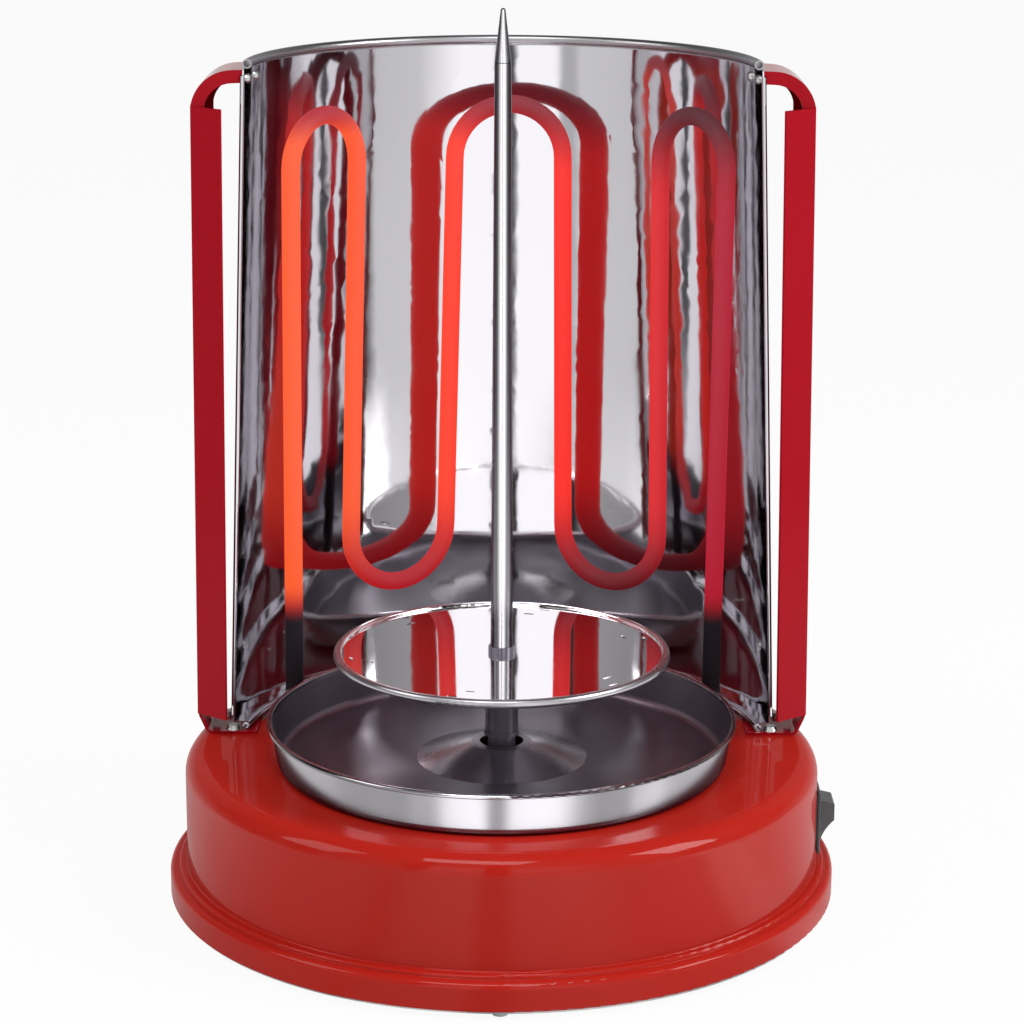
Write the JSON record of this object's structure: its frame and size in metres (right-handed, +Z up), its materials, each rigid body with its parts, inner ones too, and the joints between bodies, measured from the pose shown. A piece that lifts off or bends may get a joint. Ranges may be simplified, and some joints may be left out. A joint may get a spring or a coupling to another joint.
{
  "type": "electric skewer grill",
  "caption": "Upright electric skewer grill: motor-turned vertical spit with meat disc over a round drip tray, serpentine heater and curved reflector with side handles on a round base.",
  "frame": {"origin": "on the table under the centre of the round base, level with the rubber feet's soles", "axes": "+Z up along the spit, -Y to the open front where the cook stands, +X to the right, the side with the rocker switch"},
  "size_m": [0.29, 0.29, 0.3855],
  "materials": {
    "red_lacquer": "high-gloss stoved lacquer on sheet steel",
    "mirror_sheet": "polished sheet, hemmed and beaded edges",
    "brushed_sheet": "brushed stainless sheet, fine wear",
    "turned_steel": "turned and polished steel",
    "dark_steel": "dark turned steel",
    "hot_tube": "sheathed heater tube, glowing red, cold ends dark grey",
    "plated_steel": "zinc-plated steel",
    "bronze": "sintered bronze",
    "brass_part": "plain brass",
    "case_alloy": "die-cast alloy",
    "seal_ceramic": null,
    "switch_grey": "moulded light grey plastic",
    "rocker_dark": "moulded dark grey plastic",
    "black_rubber": "moulded black rubber",
    "block_plastic": "moulded off-white plastic",
    "wire_brown": "silicone insulation, brown",
    "wire_blue": "silicone insulation, blue",
    "wire_earth": "silicone insulation, green and yellow"
  },
  "bodies": {
    "housing": {"base_housing": "red_lacquer", "block_screws": "plated_steel", "bottom_cover": "plated_steel", "clip_screws": "plated_steel", "cord_inlet": "black_rubber", "cover_screws": "plated_steel", "earth_screw": "plated_steel", "earth_wire": "wire_earth", "gear_case": "case_alloy", "handle_left": "red_lacquer", "handle_right": "red_lacquer", "handle_screws": "plated_steel", "heater_bushes": "plated_steel", "heater_nuts": "brass_part", "heater_seals": "seal_ceramic", "heater_terminals": "brass_part", "heating_element": "hot_tube", "live_wires": "wire_brown", "motor_can": "plated_steel", "motor_screws": "plated_steel", "motor_standoffs": "plated_steel", "neutral_wires": "wire_blue", "rear_clips": "brushed_sheet", "reflector": "mirror_sheet", "reflector_rivets": "plated_steel", "rubber_feet": "black_rubber", "shaft_bush": "bronze", "switch_frame": "switch_grey", "switch_terminals": "brass_part", "terminal_block": "block_plastic"},
    "drive": {"output_shaft": "turned_steel", "drive_spindle": "turned_steel", "spindle_screw": "dark_steel"},
    "spit": {"spit_sleeve": "dark_steel", "spit_rod": "turned_steel", "spit_tip": "turned_steel", "meat_disc": "mirror_sheet", "lock_ring": "dark_steel"},
    "tray": {"drip_tray": "brushed_sheet"},
    "rocker": {"switch_rocker": "rocker_dark"}
  },
  "joints": [
    {"name": "drive_spin", "type": "hinge", "parent": "housing", "child": "drive", "pos_m": [0, -0.0185, 0.055], "axis": [0, 0, 1], "continuous": true},
    {"name": "spit_lift", "type": "slide", "parent": "drive", "child": "spit", "axis": [0, 0, 1], "range_m": [0, 0.045]},
    {"name": "tray_lift", "type": "slide", "parent": "housing", "child": "tray", "axis": [0, 0, 1], "range_m": [0, 0.03]},
    {"name": "rocker_tilt", "type": "hinge", "parent": "housing", "child": "rocker", "pos_m": [0.1348, -0.004, 0.034], "axis": [0, -1, 0], "range_deg": [0, 18]}
  ]
}
